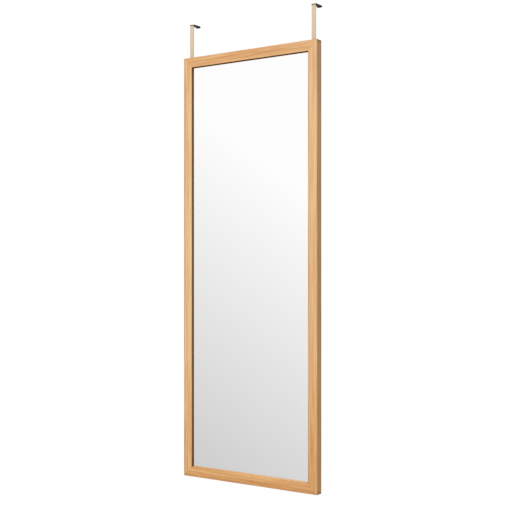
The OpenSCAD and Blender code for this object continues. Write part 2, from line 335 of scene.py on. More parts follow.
mirrorGlass = {
    "silver": (0.985, 0.984, 0.984, 1.0),
    "haze": (0.976, 0.975, 0.974, 1.0),
    "hazeGrain": (9.0, 3.0),
    "edge": linear(118, 142, 132),
    "edgeBand": (0.62 * mm, 0.55 * mm),
    # a painted shadow on the glass under the top lip and beside the left lip
    "seam": linear(120, 78, 36),
    "topLipShadow": (2.4 * mm, 2.2 * mm),
    "leftLipShadow": (2.8 * mm, 2.6 * mm),
    "leftLipShadowShare": 0.3,
    # a painted reflection of lit wood on the glass above the bottom lip
    "paintedWoodReflection": (0.99, 0.74, 0.47, 1.0),
    "woodReflectionBand": (3.6 * mm, 1.3 * mm),
    "woodReflectionShare": 0.85,
    "backPaint": linear(112, 116, 120),
    "backBand": (-0.3 * mm, -0.05 * mm),
    "roughness": 0.004,
    "dullRoughness": 0.35,
    "grindScale": 1400.0,
    "grindRoughness": 0.2,
}


def mirrorMaterial():
    # silver where it faces forwards, green ground glass at the rim, grey paint behind; a
    # painted shadow lies on the glass close under the top lip and a little beside the left one,
    # and a painted reflection of lit wood over the bottom one
    mat, tree, shader = newMaterial("silveredGlass")
    glass = mirrorGlass
    x, y, z = axes(tree)
    low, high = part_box("mirror_pane")
    haze = grain(tree, *glass["hazeGrain"])
    grind = grain(tree, glass["grindScale"])
    behind = ramp(tree, y, glass["backBand"], origin=high[1])
    inwards = depthInwards(tree, x, z, high[0], (high[2] - low[2]) / 2, (low[2] + high[2]) / 2)
    rim = ramp(tree, inwards, glass["edgeBand"])
    openWidth, openHeight = frameHalfWidth - moulding["faceWidth"], frameHalfHeight - moulding["faceWidth"]
    # painted shadow under the top lip and faintly beside the left one
    seam = larger(tree, ramp(tree, minus(tree, frameMid + openHeight, z), glass["topLipShadow"]),
                  ramp(tree, minus(tree, x, -openWidth), glass["leftLipShadow"], glass["leftLipShadowShare"]))
    # painted reflection of lit wood above the bottom lip
    paintedWoodReflection = ramp(tree, minus(tree, z, frameMid - openHeight), glass["woodReflectionBand"], glass["woodReflectionShare"],
                   smooth=False)
    colour = covered(tree, glass["silver"], (haze, glass["haze"]), (rim, glass["edge"]),
                     (seam, glass["seam"]), (paintedWoodReflection, glass["paintedWoodReflection"]), (behind, glass["backPaint"]))
    dull = larger(tree, behind, rim)
    plug(tree, shader.inputs["Metallic"], minus(tree, 1.0, dull))
    finish(tree, shader, colour, weighted(tree, (haze, glass["roughness"]), (dull, glass["dullRoughness"]),
                                          (times(tree, dull, grind), glass["grindRoughness"])))
    return mat


strapPaint = {
    "colour": linear(214, 190, 160),
    "shade": linear(205, 181, 151),
    "cloudGrain": (60.0, 3.0),
    # the colour of the painted shade on the strap's cut edges
    "edge": linear(150, 130, 106),
    "edgeBand": (-0.35 * mm, -0.1 * mm),
    "roughness": (0.42, 0.12),
    "peelScale": 900.0,
    "bump": (0.03 * mm, 0.5),
}


def strapMaterial():
    # the strap's cut edges are darkened by painted shade
    mat, tree, shader = newMaterial("beigePaintedSteel")
    paint = strapPaint
    fromCentre = apart(tree, maths(tree, "ABSOLUTE", axes(tree)[0]), strap["centre"])
    # painted shade on the cut edges
    edge = ramp(tree, fromCentre, paint["edgeBand"], origin=strap["width"] / 2)
    cloud, peel = grain(tree, *paint["cloudGrain"]), grain(tree, paint["peelScale"])
    finish(tree, shader, covered(tree, paint["shade"], (cloud, paint["colour"]), (edge, paint["edge"])),
           mottled(tree, peel, *paint["roughness"]))
    bump(tree, shader, peel, paint["bump"])
    return mat


rubber = {
    "colour": linear(32, 20, 10),
    "worn": linear(56, 37, 22),
    "cloudGrain": (140.0, 3.0),
    "wornLimits": (0.35, 0.75),
    "roughness": (0.72, 0.16),
    "pebbleScale": 2600.0,
    "bump": (0.05 * mm, 0.6),
}
padFoam = {"colour": linear(58, 54, 50), "worn": linear(78, 73, 68)}


def rubberMaterial(name, colours):
    mat, tree, shader = newMaterial(name)
    cloud, pebble = grain(tree, *rubber["cloudGrain"]), grain(tree, rubber["pebbleScale"])
    worn = ramp(tree, cloud, rubber["wornLimits"])
    finish(tree, shader, mixColour(tree, worn, colours["colour"], colours["worn"]),
           mottled(tree, pebble, *rubber["roughness"]))
    bump(tree, shader, pebble, rubber["bump"])
    return mat


zinc = {
    "bright": linear(196, 198, 203),
    "dull": linear(158, 161, 168),
    "spangleScale": 420.0,
    "spangleShare": 1.1,
    "rubScale": (900, 5200, 5200),
    "bump": (0.01 * mm, 0.5),
    "roughness": (0.35, 0.22),
}


def zincMaterial():
    # pale spangle from Voronoi cells, with fine rubbed lines over it
    mat, tree, shader = newMaterial("zincPlate")
    cells = tree.nodes.new("ShaderNodeTexVoronoi")
    tree.links.new(objectPoint(tree), cells.inputs["Vector"])
    cells.inputs["Scale"].default_value = zinc["spangleScale"]
    tone = times(tree, cells.outputs["Distance"], zinc["spangleShare"])
    rubbed = noise(tree, objectPoint(tree, zinc["rubScale"]))
    finish(tree, shader, mixColour(tree, tone, zinc["bright"], zinc["dull"]),
           mottled(tree, rubbed, *zinc["roughness"]))
    shader.inputs["Metallic"].default_value = 1.0
    bump(tree, shader, rubbed, zinc["bump"])
    return mat


hardboard = {
    "brown": linear(146, 106, 73),
    "dark": linear(112, 77, 50),
    "fleck": linear(74, 50, 34),
    "fibreTurnsDeg": (12, 49, 81, 118, 152),
    "fibreScales": (230, 1700),
    "fibreShift": 7.3,
    "fibreNoise": (2.0, 0.55, 0.9),
    "blotchGrain": (22.0, 3.0, 0.6),
    "gritScale": 1900.0,
    "toneWeights": (1.0, 0.35, 0.18),
    "toneLimits": (0.78, 1.0),
    "fleckScale": (420, 420, 640),
    "fleckNoise": (1.5, 0.5, 0.8),
    "fleckLimits": (0.68, 0.74),
    "fleckShade": 0.55,
    "roughness": 0.78,
    "bump": (0.06 * mm, 0.5),
}


def hardboardMaterial():
    # pressed wood fibre: short hairs lie at several angles, each a noise stretched along its
    # own turned axis, and the strongest one shows; dark flecks of bark are strewn over them
    mat, tree, shader = newMaterial("pressedHardboard")
    board = hardboard
    x, y, z = axes(tree)
    along, across = board["fibreScales"]
    fibre = 0.0
    for k, turnDeg in enumerate(board["fibreTurnsDeg"]):
        c, s = math.cos(math.radians(turnDeg)), math.sin(math.radians(turnDeg))
        point = tree.nodes.new("ShaderNodeCombineXYZ")
        plug(tree, point.inputs[0], weighted(tree, (x, along * c), (z, along * s)))
        plug(tree, point.inputs[1], weighted(tree, (x, -across * s), (z, across * c)))
        point.inputs[2].default_value = board["fibreShift"] * k
        fibre = larger(tree, fibre, noise(tree, point.outputs[0], *board["fibreNoise"]))
    blotch, grit = grain(tree, *board["blotchGrain"]), grain(tree, board["gritScale"])
    tone = weighted(tree, *zip((fibre, grit, blotch), board["toneWeights"]))
    flecks = noise(tree, objectPoint(tree, board["fleckScale"]), *board["fleckNoise"])
    flecks = times(tree, ramp(tree, flecks, board["fleckLimits"]), board["fleckShade"])
    tone = ramp(tree, tone, board["toneLimits"], smooth=False)
    finish(tree, shader, covered(tree, board["dark"], (tone, board["brown"]), (flecks, board["fleck"])),
           board["roughness"])
    bump(tree, shader, fibre, board["bump"])
    return mat


foam = {
    "pit": linear(206, 204, 198),
    "white": linear(236, 235, 231),
    "pitScale": 1500.0,
    "pitLimits": (0.3, 0.7),
    "bump": (0.15 * mm, 0.6),
    "roughness": 0.9,
}


def foamMaterial():
    mat, tree, shader = newMaterial("whiteFoam")
    pits = grain(tree, foam["pitScale"])
    finish(tree, shader, mixColour(tree, ramp(tree, pits, foam["pitLimits"]), foam["pit"], foam["white"]),
           foam["roughness"])
    bump(tree, shader, pits, foam["bump"])
    return mat


def sceneObject(name, data):
    thing = bpy.data.objects.new(name, data)
    bpy.context.scene.collection.objects.link(thing)
    return thing


meshing = {"weld": 0.002 * mm, "sliver": 0.001 * mm}


def finishedPiece(name, points, faces, material, body, node, sharpDeg):
    # points and quads become one closed mesh, smooth except along its sharp edges
    mesh = bpy.data.meshes.new(name)
    mesh.from_pydata(points.tolist(), [], faces.tolist())
    bench = bmesh.new()
    bench.from_mesh(mesh)
    bmesh.ops.remove_doubles(bench, verts=bench.verts, dist=meshing["weld"])
    bmesh.ops.dissolve_degenerate(bench, edges=bench.edges, dist=meshing["sliver"])
    bmesh.ops.holes_fill(bench, edges=bench.edges, sides=0)
    bmesh.ops.recalc_face_normals(bench, faces=bench.faces)
    openEdges = sum(1 for edge in bench.edges if len(edge.link_faces) != 2)
    bench.to_mesh(mesh)
    bench.free()
    mesh.shade_smooth()
    mesh.set_sharp_from_angle(angle=math.radians(sharpDeg))
    mesh.materials.append(material)
    piece = sceneObject(name, mesh)
    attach(piece, body)
    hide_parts(node)
    print(name, len(mesh.polygons), "faces,", openEdges, "open edges")


def gridFaces(rows, columns, closed):
    # quads between neighbouring rows of a grid; closed joins the last column to the first
    i, j = np.meshgrid(np.arange(rows - 1), np.arange(columns if closed else columns - 1), indexing="ij")
    k = (j + 1) % columns
    return np.stack([i * columns + j, i * columns + k, (i + 1) * columns + k, (i + 1) * columns + j],
                    axis=-1).reshape(-1, 4)


def arc(centre, radius, startDeg, endDeg, steps):
    # points on a circle from one angle to another, counted from the first axis
    angle = np.radians(np.linspace(startDeg, endDeg, steps))
    return np.stack([centre[0] + radius * np.cos(angle), centre[1] + radius * np.sin(angle)], axis=1)


def roundedRectangle(width, height, radius, steps):
    # four quarter circles joined by straight sides, anticlockwise from the lower right
    x, y = width / 2 - radius, height / 2 - radius
    quarters = ((x, -y, -90), (x, y, 0), (-x, y, 90), (-x, -y, 180))
    return np.concatenate([arc((i, j), radius, start, start + 90, steps) for i, j, start in quarters])


def drawnIn(distance, radius):
    # how far a round corner draws the side in, at a distance from the corner's end: the
    # radius less the height of a quarter circle there
    near = np.clip(radius - distance, 0, radius)
    return radius - np.sqrt(radius ** 2 - near ** 2)


def closedEnd(ring):  # quads between the two long sides of a ring of points
    j = np.arange(len(ring) // 2 - 1)
    return np.stack([ring[j], ring[j + 1], ring[-2 - j], ring[-1 - j]], axis=-1)


def joined(clouds, faces):  # several copies of one shape in one list of points and faces
    shifts = np.arange(len(clouds))[:, None, None] * len(clouds[0])
    return np.concatenate(clouds), (faces[None] + shifts).reshape(-1, faces.shape[1])


def turned(section, turns):
    # a section of radius and height, row by row, carried round the axis
    angle = np.linspace(0, 2 * math.pi, turns, endpoint=False)
    x = np.outer(section[:, 0], np.cos(angle)).ravel()
    y = np.outer(section[:, 0], np.sin(angle)).ravel()
    return x, y, np.repeat(section[:, 1], turns), gridFaces(len(section), turns, True)


def isRail(sideDeg):
    return sideDeg in (0, 180)


def onSide(sideDeg, along, inwards, back):
    # a side's own axes, along it, inwards from its outer edge and back from the front,
    # turned about Y into the frame: 0 is the top, 90 the right, 180 the bottom, -90 the left
    side = math.radians(sideDeg)
    outwards = (frameHalfHeight if isRail(sideDeg) else frameHalfWidth) - inwards
    return np.stack([along * math.cos(side) + outwards * math.sin(side), frameFront + back,
                     frameMid - along * math.sin(side) + outwards * math.cos(side)], axis=-1)


def nodeName(name):  # leftUpper becomes left_upper
    return "".join("_" + letter.lower() if letter.isupper() else letter for letter in name)


moulding = {
    "faceWidth": 29 * mm,
    "depth": 22 * mm,
    "rebateWidth": 6 * mm,
    "frontLip": 6 * mm,
    "ledgeDepth": 13.5 * mm,
    "wall": 11 * mm,
    "frontRadius": 2.5 * mm,
    "backRadius": 2.0 * mm,
    "bevel": 1.2 * mm,
    "cornerRadius": 3.0 * mm,
    "innerEase": 0.35 * mm,
    "faceShares": (0.35, 0.7),
    "arcSteps": 10,
    "cornerTurnDeg": 40,
    "cornerSteps": 7,
    "mitreGap": 0.03 * mm,
    "mitreEase": 0.16 * mm,
    "notchClearance": 0.4 * mm,
    "sharpDeg": 35,
}

ledge = {
    "middle": (moulding["wall"] + moulding["faceWidth"] - moulding["rebateWidth"]) / 2,
    "depth": moulding["ledgeDepth"],
}

strap = {
    "width": 13.0 * mm,  # the photo's straps are this much narrower than the solids
    "thickness": 1.5 * mm,
    "bendRadius": 0.6 * mm,
    "edgeRadius": 0.3 * mm,
    "tailRadius": 3.0 * mm,
    "lipRadius": 1.0 * mm,
    "slotWidth": 3.9 * mm,
    "tailMargin": 6.0 * mm,
    "screwPitch": 20.0 * mm,
    "slideUp": 10.0 * mm,
    "slideDown": 30.0 * mm,
    "centre": 205.85 * mm,
    "lipRaise": 2.2 * mm,  # and their lips this much shorter
    "sharpDeg": 40,
}


def mouldingSection():
    # closed outline in u, inwards from the outer edge, and v, back from the front face
    m = moulding
    w, d, ease, ledgeDepth, wall = m["faceWidth"], m["depth"], m["innerEase"], m["ledgeDepth"], m["wall"]
    front, back, bevel, inner = m["frontRadius"], m["backRadius"], m["bevel"], w - m["rebateWidth"]
    parts = [
        arc((front, front), front, 180, 270, m["arcSteps"]),
        [(w * share, 0) for share in m["faceShares"]],
        arc((w - bevel, bevel), bevel, -90, 0, m["arcSteps"]),
        [(w, m["frontLip"]), (inner, m["frontLip"]), (inner, ledgeDepth - ease), (inner - ease, ledgeDepth),
         (wall, ledgeDepth), (wall, d - ease), (wall - ease, d)],
        arc((back, d - back), back, 90, 180, m["arcSteps"]),
    ]
    return np.concatenate([np.asarray(part, dtype=float) for part in parts])


def buildMember(name, material):
    # the section carried along the member and cut along the mitre, where the distance from
    # the middle falls by as much as the point lies inwards; near its ends the outer side
    # follows a quarter circle, so the corner of the frame is round
    m, section, sideDeg = moulding, mouldingSection(), members[name]["sideDeg"]
    half = frameHalfWidth if isRail(sideDeg) else frameHalfHeight
    gap, ease, radius = m["mitreGap"], m["mitreEase"], m["cornerRadius"]
    least = radius * (1 - math.sqrt(0.5))  # on the mitre the round corner leaves u no smaller
    inWall = section[:, 0] <= m["wall"] + rounding
    notched = section.copy()
    notched[inWall, 1] = np.minimum(section[inWall, 1], m["ledgeDepth"])
    stations = []

    def station(outline, s):  # never past the mitre, nor outside the round corner
        limit = half - np.maximum(outline[:, 0], least) - gap - ease
        s = np.clip(s, -limit, limit)
        u = np.maximum(outline[:, 0], drawnIn(half - np.abs(s), radius))
        stations.append(np.column_stack([s, u, outline[:, 1]]))

    def mitre(end, back, shrink):
        u = np.clip(section[:, 0], max(shrink, least), m["faceWidth"] - shrink)
        v = np.clip(section[:, 1], shrink, m["depth"] - shrink)
        stations.append(np.column_stack([end * (half - u - gap - back), u, v]))

    angles = np.radians(np.linspace(0, m["cornerTurnDeg"], m["cornerSteps"]))
    corner = half - radius + radius * np.sin(angles)
    notchWidth = strap["width"] + 2 * m["notchClearance"]
    mitre(-1, 0, ease)
    mitre(-1, ease, 0)
    for s in corner[::-1]:
        station(section, -s)
    for hand in (-1, 1) if name == "topRail" else ():  # a notch for each strap
        for edge, outlines in ((-1, (section, notched)), (1, (notched, section))):
            for outline in outlines:
                station(outline, hand * strap["centre"] + edge * notchWidth / 2)
    for s in corner:
        station(section, s)
    mitre(1, ease, 0)
    mitre(1, 0, ease)
    grid = np.concatenate(stations)
    finishedPiece(name, onSide(sideDeg, *grid.T), gridFaces(len(stations), len(section), True), material,
                  "frame", nodeName(name), m["sharpDeg"])


plate = {"rowSteps": 8, "columnSteps": 16, "decimals": 9, "leastOpening": 0.001 * mm}


def spread(start, stop, steps):  # places from start to stop, closer together near both ends
    return start + (stop - start) * (1 - np.cos(np.linspace(0, math.pi, steps))) / 2


def flatPlate(length, width, thickness, edge, startRadius, endRadius, hole, bends):
    # a plate as two halves of a grid: rows run along it, columns from the hole or the middle
    # out to the side on the front and back again behind. Its thickness falls off along a
    # quarter circle within the edge radius of its outline or of the hole. The hole is a
    # stadium given by its first and last centre and its radius
    half = width / 2
    first, last, holeRadius = hole
    stops = [0, edge, startRadius, first - holeRadius, first, last, last + holeRadius,
             length - endRadius, length - edge, length] + [end for bend in bends for end in bend[:2]]
    stops = np.unique(np.round(stops, plate["decimals"]))
    rows = np.concatenate([spread(a, b, plate["rowSteps"])[:-1] for a, b in zip(stops[:-1], stops[1:])]
                          + [[length]])
    reach = half - drawnIn(rows, startRadius) - drawnIn(length - rows, endRadius)
    offCentre = np.maximum(np.maximum(first - rows, rows - last), 0)
    opening = np.sqrt(np.clip(holeRadius ** 2 - offCentre ** 2, 0, None))
    opening[opening < plate["leastOpening"]] = 0
    share = spread(0, 1, plate["columnSteps"])
    x = opening[:, None] + (reach - opening)[:, None] * share[None, :]
    s = np.repeat(rows[:, None], len(share), axis=1)

    radius = np.where(s < length / 2, startRadius, endRadius)
    qx, qs = x - half + radius, np.abs(s - length / 2) - length / 2 + radius
    outline = radius - np.hypot(np.maximum(qx, 0), np.maximum(qs, 0)) - np.minimum(np.maximum(qx, qs), 0)
    toHole = np.hypot(x, np.maximum(np.maximum(first - s, s - last), 0)) - holeRadius
    near = np.clip(edge - np.clip(np.minimum(outline, toHole), 0, None), 0, edge)
    height = thickness / 2 - edge + np.sqrt(edge ** 2 - near ** 2)
    x, s, height = (np.concatenate([sheet, back * sheet[:, ::-1]], axis=1)
                    for sheet, back in ((x, 1), (s, 1), (height, -1)))

    count, columns = x.shape
    wall = np.flatnonzero((opening[:-1] > 0) | (opening[1:] > 0))
    inner = np.stack([wall * columns + columns - 1, wall * columns,
                      (wall + 1) * columns, (wall + 1) * columns + columns - 1], axis=-1)
    ends = [closedEnd(np.arange(columns) + row) for row in (0, (count - 1) * columns)]
    faces = np.concatenate([gridFaces(count, columns, False), inner] + ends)
    flat = np.stack([x.ravel(), s.ravel(), height.ravel()], axis=1)
    return np.concatenate([flat, flat * (-1, 1, 1)]), np.concatenate([faces, faces[:, ::-1] + len(flat)])


def bent(flat, bends):
    # a flat strip's points are carried onto its bent middle line: straight up to a bend,
    # round a circle of the bend's radius, and on along the new direction. A positive angle
    # turns the strip towards its front. Returns across, forwards and upwards
    x, s, height = flat.T
    begin, heading, at = 0.0, 0.0, np.zeros(2)
    forward, up = np.zeros_like(s), np.zeros_like(s)
    for start, stop, angle in bends + [(s.max() + 1, s.max() + 2, 0.0)]:
        direction = np.array([math.cos(heading), math.sin(heading)])
        normal = np.array([-direction[1], direction[0]])
        pick = (s >= begin - rounding) & (s <= start)
        run = s[pick] - begin
        forward[pick] = at[0] + direction[0] * run + normal[0] * height[pick]
        up[pick] = at[1] + direction[1] * run + normal[1] * height[pick]
        at = at + direction * (start - begin)
        if angle:
            radius = (stop - start) / angle
            centre = at + normal * radius
            pick = (s > start) & (s < stop)
            heading, turn = heading + angle, heading + angle * (s[pick] - start) / (stop - start)
            ray = radius - height[pick]
            forward[pick] = centre[0] + np.sin(turn) * ray
            up[pick] = centre[1] - np.cos(turn) * ray
            at = centre - np.array([-math.sin(heading), math.cos(heading)]) * radius
        begin = stop
    return x, forward, up


def buildStrap(name, node, hand, material):
    # the strap is laid out flat from its tail to its lip, then bent back over the door and
    # down behind it
    low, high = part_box(node)
    t, radius = strap["thickness"], strap["bendRadius"] + strap["thickness"] / 2
    quarter = radius * math.pi / 2
    shoulder = high[2] - t / 2 - radius
    rise, arm = shoulder - low[2], high[1] - low[1] - t - 2 * radius
    lip = shoulder - (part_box(node + "_sleeve")[0][2] + strap["lipRaise"] + sleeve["end"])
    bends = [(start, start + quarter, -math.pi / 2) for start in (rise, rise + quarter + arm)]
    slotRadius = strap["slotWidth"] / 2
    slotLow = strap["tailMargin"] + slotRadius
    slotTop = slotLow + strap["screwPitch"] + strap["slideUp"] + strap["slideDown"]
    flat, faces = flatPlate(bends[1][1] + lip, strap["width"], t - 2 * airGap, strap["edgeRadius"],
                            strap["tailRadius"], strap["lipRadius"], (slotLow, slotTop, slotRadius), bends)
    x, climb, away = bent(flat, bends)  # forwards is up the strap, and upwards is to the front
    points = np.column_stack([hand * strap["centre"] + x, low[1] + t / 2 - away, low[2] + climb])
    finishedPiece(name, points, faces, material, node, node, strap["sharpDeg"])


sleeve = {
    "clearance": 0.05 * mm,
    "wall": 0.6 * mm,
    "edgeRadius": 0.9 * mm,
    "liningRadius": 0.3 * mm,
    "bendRadius": 1.45 * mm,
    "end": 0.65 * mm,
    "mouth": 0.2 * mm,
    "domeShare": 0.8,
    "domeSteps": 7,
    "cornerSteps": 6,
    "bendSteps": 10,
    "sharpDeg": 60,
}


def buildSleeve(name, hook, hand, material):
    # a rounded rectangle carried along the arm, over the front bend, back, and down the
    # lip: first the lining from its closed end to the mouth, then the outside back again
    node = hook + "_sleeve"
    low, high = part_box(node)
    wall, bend = sleeve["wall"], sleeve["bendRadius"]
    thickness = strap["thickness"] + 2 * (sleeve["clearance"] + wall)
    width = strap["width"] + 2 * (sleeve["clearance"] + wall)
    front, back, top = low[1] + thickness / 2, high[1] - thickness / 2, high[2] - thickness / 2 - bend
    first, second = (arc((0, 0), 1, start, start - 90, sleeve["bendSteps"]) for start in (180, 90))
    outward = np.concatenate([[[-1, 0]], first, second])
    path = np.concatenate([[[front, top - sleeve["mouth"]]], (front + bend, top) + bend * first,
                           (back - bend, top) + bend * second])

    def rings(outline, endHeights, endShares):
        # every ring at once: its outline, drawn in by its share of the thickness, on its place
        places = np.concatenate([path, [(back, height) for height in endHeights]])
        directions = np.concatenate([outward, [(1, 0)] * len(endHeights)])
        shares = np.concatenate([np.ones(len(path)), endShares])[:, None]
        across = np.maximum(np.abs(outline[:, 0]) - (1 - shares) * thickness / 2, 0)
        away = outline[:, 1] * shares
        return np.stack([hand * strap["centre"] + np.sign(outline[:, 0]) * across,
                         places[:, :1] + away * directions[:, :1],
                         places[:, 1:] + away * directions[:, 1:]], axis=-1)

    tip = low[2] + strap["lipRaise"]
    dome = np.radians(np.linspace(0, 90, sleeve["domeSteps"]))
    outside = roundedRectangle(width, thickness, sleeve["edgeRadius"], sleeve["cornerSteps"])
    lining = roundedRectangle(width - 2 * wall, thickness - 2 * wall, sleeve["liningRadius"],
                              sleeve["cornerSteps"])
    domeHeights = tip + sleeve["domeShare"] * thickness / 2 * (1 - np.sin(dome))
    grid = np.concatenate([rings(lining, [tip + sleeve["end"]] * 2, [1.0, 0.0])[::-1],
                           rings(outside, domeHeights, np.cos(dome))])
    finishedPiece(name, grid.reshape(-1, 3), gridFaces(len(grid), len(outside), True), material, hook,
                  node, sleeve["sharpDeg"])


turnButton = {
    "length": 24 * mm,
    "width": 9 * mm,
    "thickness": 1.2 * mm,
    "edgeRadius": 0.25 * mm,
    "tipRadius": 1.0 * mm,
    "tabHeight": 3.0 * mm,
    "tabRadius": 0.8 * mm,
    "holeRadius": 1.68 * mm,
    "spread": 0.32,
    "sharpDeg": 40,
}

buttonPitch = 2 * frameHalfHeight * turnButton["spread"]
buttonPlaces = {
    "leftUpper": (-90, buttonPitch), "leftMiddle": (-90, 0.0), "leftLower": (-90, -buttonPitch),
    "rightUpper": (90, -buttonPitch), "rightMiddle": (90, 0.0), "rightLower": (90, buttonPitch),
    "top": (0, 0.0), "bottom": (180, 0.0),
}


def buildTurnButtons(material):
    # a strip with a round end about its pivot and its tip bent up into a finger tab
    b = turnButton
    t, r, half = b["thickness"], b["tabRadius"] + b["thickness"] / 2, b["width"] / 2
    run, quarter = b["length"] - b["tabRadius"] - t, r * math.pi / 2
    length, bends = run + quarter + b["tabHeight"] - b["tabRadius"] - t, [(run, run + quarter, math.pi / 2)]
    flat, faces = flatPlate(length, b["width"], t - 2 * airGap, b["edgeRadius"], half, b["tipRadius"],
                            (half, half, b["holeRadius"]), bends)
    x, inwards, height = bent(flat, bends)
    for place, (sideDeg, along) in buttonPlaces.items():
        name = place + "TurnButton"
        node = nodeName(name)
        points = onSide(sideDeg, along + x, ledge["middle"] + inwards - half, ledge["depth"] + t / 2 + height)
        finishedPiece(name, points, faces, material, node, node, b["sharpDeg"])


screw = {
    "diameter": 3.2 * mm,
    "bite": 9 * mm,
    "tip": 2.5 * mm,
    "tipShare": 0.5,
    "neck": 0.01 * mm,
    "headDiameter": 6.5 * mm,
    "headHeight": 2.2 * mm,
    "headDome": 1.0 * mm,
    "headBevel": 0.2 * mm,
    "rimBevel": 0.25 * mm,
    "rimDraw": 0.06 * mm,
    "crossLength": 3.6 * mm,
    "crossWidth": 0.9 * mm,
    "crossDepth": 1.2 * mm,
    "crossEnd": 0.5 * mm,
    "crossSide": 0.18 * mm,
    "headSteps": 26,
    "turns": 96,
    "sharpDeg": 50,
}


def panScrew(grip):
    # circles about the screw's axis, from its point up the shank and over the head; on the
    # head the height is the dome less a cross, whose ends and sides slope in smoothly
    s = screw
    rim, shank, top = s["headDiameter"] / 2, s["diameter"] / 2, grip + s["headHeight"]
    bevel, rimBevel, rimHeight = s["headBevel"], s["rimBevel"], top - s["headDome"]
    body = [(0, -s["bite"]), (shank * s["tipShare"], s["tip"] * s["tipShare"] - s["bite"]),
            (shank, s["tip"] - s["bite"]), (shank, grip - s["neck"]), (shank, grip), (rim - bevel, grip),
            (rim, grip + bevel), (rim, rimHeight - rimBevel), (rim - s["rimDraw"], rimHeight)]
    domeRadius = (rim ** 2 + s["headDome"] ** 2) / (2 * s["headDome"])
    radii = np.linspace(rim - rimBevel, 0, s["headSteps"])
    head = np.column_stack([radii, top - domeRadius + np.sqrt(domeRadius ** 2 - radii ** 2)])
    x, y, z, faces = turned(np.concatenate([body, head]), s["turns"])
    inArm = np.arange(len(x)) >= len(body) * s["turns"]
    for size, wall, pick in ((s["crossLength"], s["crossEnd"], np.maximum),
                             (s["crossWidth"], s["crossSide"], np.minimum)):
        inArm = inArm * np.clip((size / 2 - pick(np.abs(x), np.abs(y))) / wall, 0, 1)
    return x, y, z - s["crossDepth"] * inArm ** 2 * (3 - 2 * inArm), faces


def repeated(places, x, y, z, faces):
    # copies of one shape about several places, each given as a side, a place along it, a
    # depth inwards, a depth back and a turn about the shape's own axis
    clouds = []
    for sideDeg, along, inwards, back, turnDeg in places:
        c, s = math.cos(math.radians(turnDeg)), math.sin(math.radians(turnDeg))
        clouds.append(onSide(sideDeg, along + c * x - s * y, inwards + s * x + c * y, back + z))
    return joined(clouds, faces)


fastening = {
    "buttonScrewGap": 0.05 * mm,
    "firstTurnDeg": 23,
    "nextTurnDeg": 31,
    "hookScrewDrop": 50 * mm,
    "hookScrewTurnsDeg": (17, 62, 38, 81),
    "washerDiameter": 9 * mm,
    "washerThickness": 0.8 * mm,
    "washerGap": 0.05 * mm,
    "washerEdge": 0.2 * mm,
    "edgeSteps": 4,
    "washerTurns": 64,
}


def buildFasteners(material):
    def fasteners(name, places, shape):
        points, faces = repeated(places, *shape)
        finishedPiece(name, points, faces, material, "frame", nodeName(name), screw["sharpDeg"])

    f, t = fastening, strap["thickness"]
    buttonScrews = [place + (ledge["middle"], ledge["depth"], f["firstTurnDeg"] + f["nextTurnDeg"] * k)
                    for k, place in enumerate(buttonPlaces.values())]
    fasteners("turnButtonScrews", buttonScrews, panScrew(turnButton["thickness"] + f["buttonScrewGap"]))

    # two screws on each hook, on the stiles' axes: along is counted down the right stile
    reach, inwards = frameHalfHeight - f["hookScrewDrop"], frameHalfWidth - strap["centre"]
    onHooks = [(sideDeg, hand * (reach - k * strap["screwPitch"]), inwards)
               for sideDeg, hand in ((-90, 1), (90, -1)) for k in (0, 1)]
    hookScrews = [place + (ledge["depth"], turn) for place, turn in zip(onHooks, f["hookScrewTurnsDeg"])]
    fasteners("hookScrews", hookScrews, panScrew(t + f["washerThickness"]))

    inner, outer = screw["diameter"] / 2 + f["washerGap"], f["washerDiameter"] / 2
    section = roundedRectangle(outer - inner, f["washerThickness"], f["washerEdge"], f["edgeSteps"])
    section = np.concatenate([section, section[:1]]) + ((outer + inner) / 2, f["washerThickness"] / 2)
    washers = [place + (ledge["depth"] + t, 0) for place in onHooks]
    fasteners("hookWashers", washers, turned(section, f["washerTurns"]))


cornerNail = {
    "leg": 5 * mm,
    "thickness": 0.6 * mm,
    "height": 8 * mm,
    "bendRadius": 0.7 * mm,
    "edgeRadius": 0.12 * mm,
    "proud": 0.06 * mm,
    "bendSteps": 7,
    "edgeSteps": 4,
    "sharpDeg": 40,
}


def buildCornerNails(material):
    # a flat strip stood on its edge and bent square across the mitre, with one leg in either
    # member: a rounded rectangle is carried along a leg, round a quarter circle and back
    n, bend = cornerNail, cornerNail["bendRadius"]
    turn = arc((0, 0), 1, -90, 0, n["bendSteps"])
    path = np.concatenate([[(-n["leg"], 0)], (-bend, bend) + bend * turn, [(0, n["leg"])]])
    outward = np.concatenate([[(0, -1)], turn, [(1, 0)]])
    section = roundedRectangle(n["thickness"], n["height"], n["edgeRadius"], n["edgeSteps"])
    along = (path[:, :1] + outward[:, :1] * section[:, 0]).ravel()
    inwards = (path[:, 1:] + outward[:, 1:] * section[:, 0]).ravel()
    back = np.tile(section[:, 1] - n["height"] / 2 + n["proud"], len(path))
    ring = np.arange(len(section))
    ends = [closedEnd(ring + row * len(section)) for row in (0, len(path) - 1)]
    faces = np.concatenate([gridFaces(len(path), len(section), True)] + ends)
    levels = ((moulding["wall"] / 2, moulding["depth"]), (ledge["middle"], ledge["depth"]))
    clouds = [onSide(sideDeg, hand * (frameHalfWidth - inset + along), inset + inwards, depth + back)
              for sideDeg in (0, 180) for hand in (-1, 1) for inset, depth in levels]
    points, faces = joined(clouds, faces)
    finishedPiece("cornerNails", points, faces, material, "frame", "corner_nails",
                  n["sharpDeg"])


pad = {
    "diameter": 8.5 * mm,
    "thickness": 1.5 * mm,
    "rim": 0.6 * mm,
    "hollow": 0.08 * mm,
    "inset": 45 * mm,
    "steps": 8,
    "turns": 64,
    "sharpDeg": 50,
}


